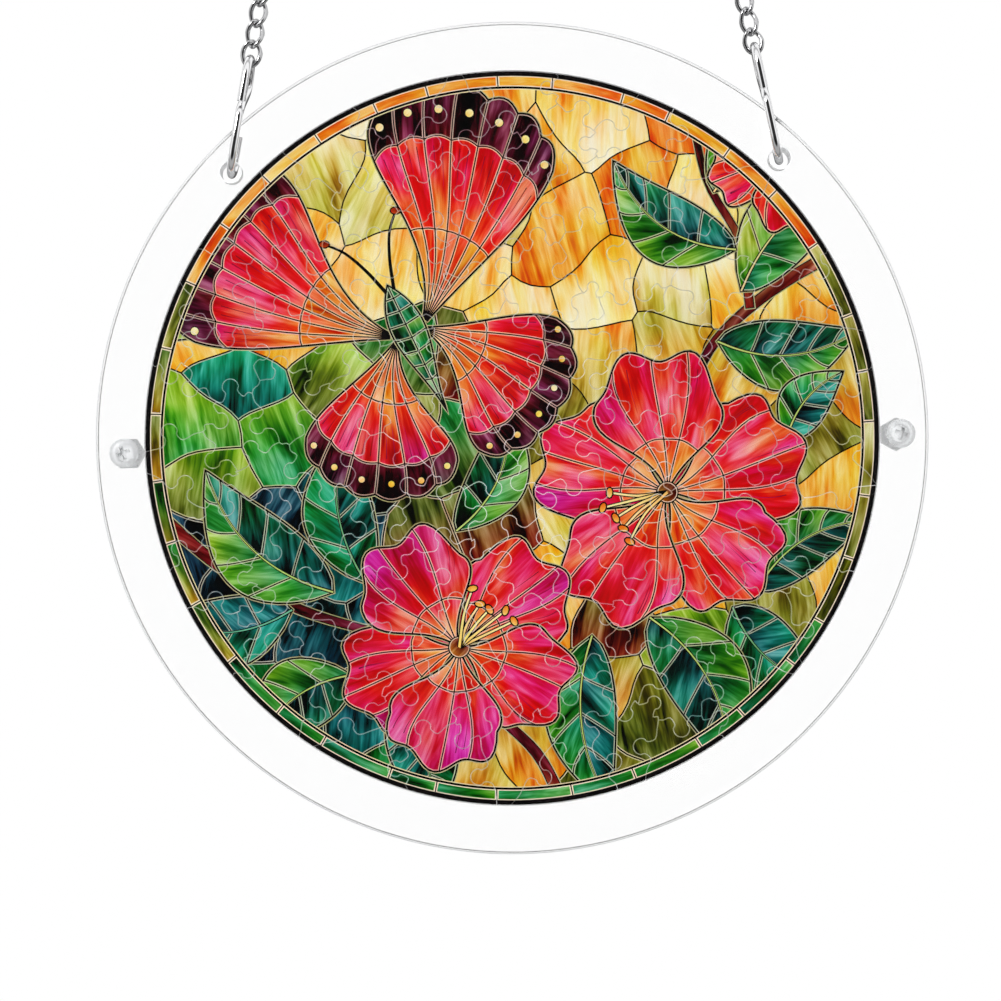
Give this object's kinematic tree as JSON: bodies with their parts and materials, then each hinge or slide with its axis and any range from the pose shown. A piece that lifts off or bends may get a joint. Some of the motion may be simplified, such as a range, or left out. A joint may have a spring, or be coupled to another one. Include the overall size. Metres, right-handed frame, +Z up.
{
  "type": "acrylic suncatcher",
  "caption": "Round jigsaw picture disc clamped in a clear acrylic frame by two plastic screws, hung from two wire S-hooks on a thin curb chain.",
  "frame": {"origin": "the hang point: under the chain's top link, where it bears on its nail or hook", "axes": "+Z up; the disc hangs below in the XZ plane with its picture facing -Y, and +X is to the right as it is looked at"},
  "size_m": [0.2, 0.0136, 0.4654],
  "materials": {
    "clear_acrylic": "clear polished acrylic sheet",
    "printed_picture": "printed acrylic jigsaw, translucent stained-glass colours",
    "clear_plastic": "clear moulded plastic",
    "bright_wire": "bright plated steel wire"
  },
  "bodies": {
    "root": {"front_plate": "clear_acrylic", "spacer_ring": "clear_acrylic", "back_plate": "clear_acrylic", "picture_disc": "printed_picture", "screw_left": "clear_plastic", "screw_right": "clear_plastic", "nut_left": "clear_plastic", "nut_right": "clear_plastic", "hook_left": "bright_wire", "hook_right": "bright_wire", "chain_left": "bright_wire", "chain_right": "bright_wire", "chain_top": "bright_wire"}
  },
  "joints": []
}
